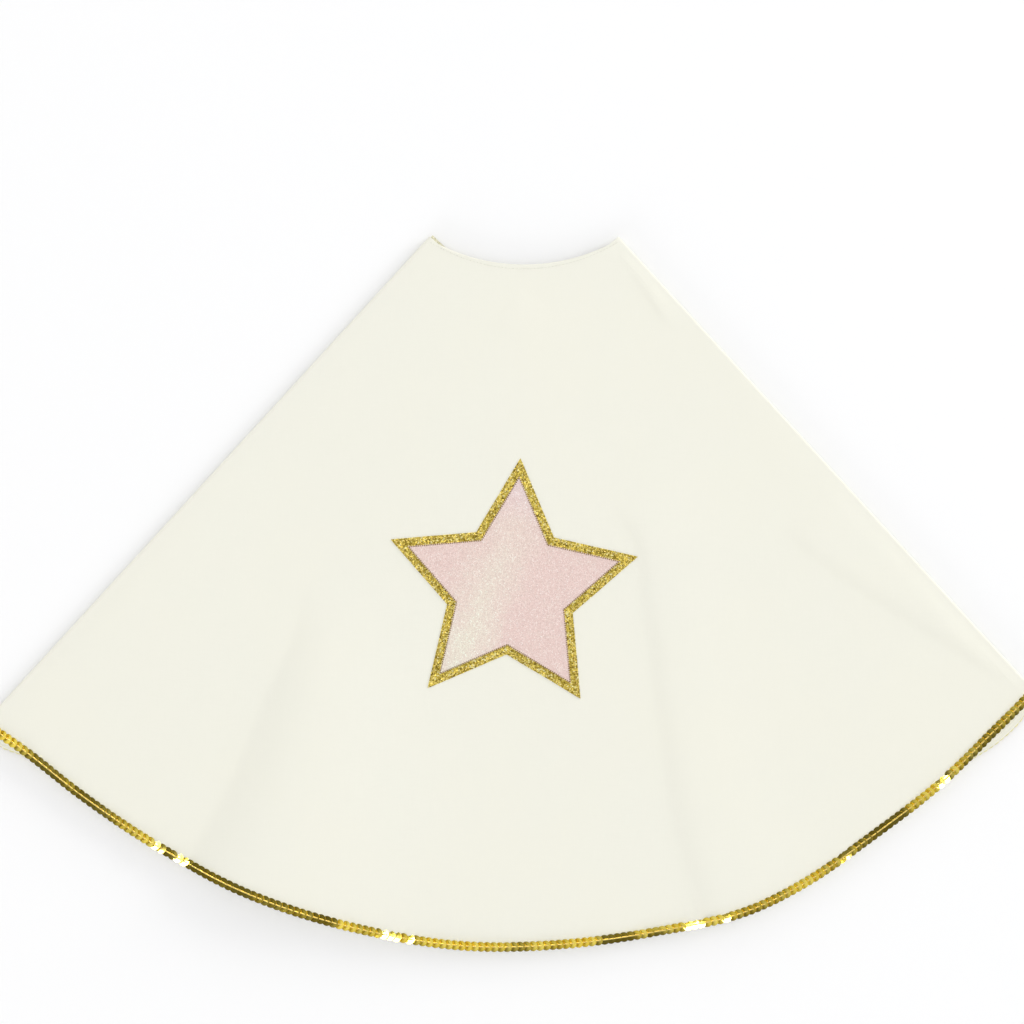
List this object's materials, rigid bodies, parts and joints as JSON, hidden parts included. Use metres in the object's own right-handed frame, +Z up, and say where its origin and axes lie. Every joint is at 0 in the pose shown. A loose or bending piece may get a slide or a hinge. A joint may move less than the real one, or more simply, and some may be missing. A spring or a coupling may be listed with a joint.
{
  "type": "superhero cape",
  "caption": "Child's cream cape with glitter star appliqué, sequin-trimmed curved hem, lined, with front panels turned under and a hook-and-loop neck strap.",
  "frame": {"origin": "on the floor directly below the nape, the lowest point of the back neckline; the cape lies back up with its front panels turned under", "axes": "+X to the right across the back, +Y from the hem to the neck, +Z up from the floor through the back's outer face"},
  "size_m": [0.8433, 0.574, 0.0086],
  "materials": {
    "cream_shell": "soft matte twill",
    "cream_lining": "smooth plain weave",
    "cream_thread": "matte thread",
    "gold_sequins": "metallised gold, glossy",
    "gold_thread": "shiny thread",
    "bronze_thread": "shiny thread",
    "gold_glitter": "glitter coated",
    "pink_glitter": "fine iridescent glitter",
    "hook_tape": "moulded hooks on woven tape",
    "loop_tape": "brushed loops",
    "label_satin": "satin ribbon, blank"
  },
  "bodies": {
    "back": {"back_shell": "cream_shell", "back_lining": "cream_lining", "neck_stitching_back": "cream_thread", "care_label": "label_satin", "star_backing": "gold_glitter", "star_face": "pink_glitter", "star_backing_stitching": "gold_thread", "star_face_stitching": "bronze_thread", "hem_sequins_back": "gold_sequins", "hem_thread_back": "gold_thread"},
    "front_left": {"front_left_shell": "cream_shell", "front_left_lining": "cream_lining", "edge_stitching_front_left": "cream_thread", "hem_sequins_front_left": "gold_sequins", "hem_thread_front_left": "gold_thread"},
    "front_right": {"front_right_shell": "cream_shell", "front_right_lining": "cream_lining", "edge_stitching_front_right": "cream_thread", "hem_sequins_front_right": "gold_sequins", "hem_thread_front_right": "gold_thread", "loop_pad": "loop_tape", "loop_pad_stitching": "cream_thread"},
    "strap": {"closure_strap": "gold_glitter", "strap_stitching": "gold_thread", "hook_pad": "hook_tape", "hook_pad_stitching": "cream_thread"}
  },
  "joints": [
    {"name": "left_shoulder_fold", "type": "hinge", "parent": "back", "child": "front_left", "pos_m": [-0.07432, 0.0213, 0.0043], "axis": [0.6756, 0.7373, 0], "range_deg": [0, 180]},
    {"name": "right_shoulder_fold", "type": "hinge", "parent": "back", "child": "front_right", "pos_m": [0.07432, 0.0213, 0.0043], "axis": [0.6756, -0.7373, 0], "range_deg": [0, 180]},
    {"name": "closure_strap_fold", "type": "hinge", "parent": "front_left", "child": "strap", "pos_m": [-0.00545, -0.02248, 0.00045], "axis": [-0.0436, -0.999, 0], "range_deg": [0, 180]}
  ]
}
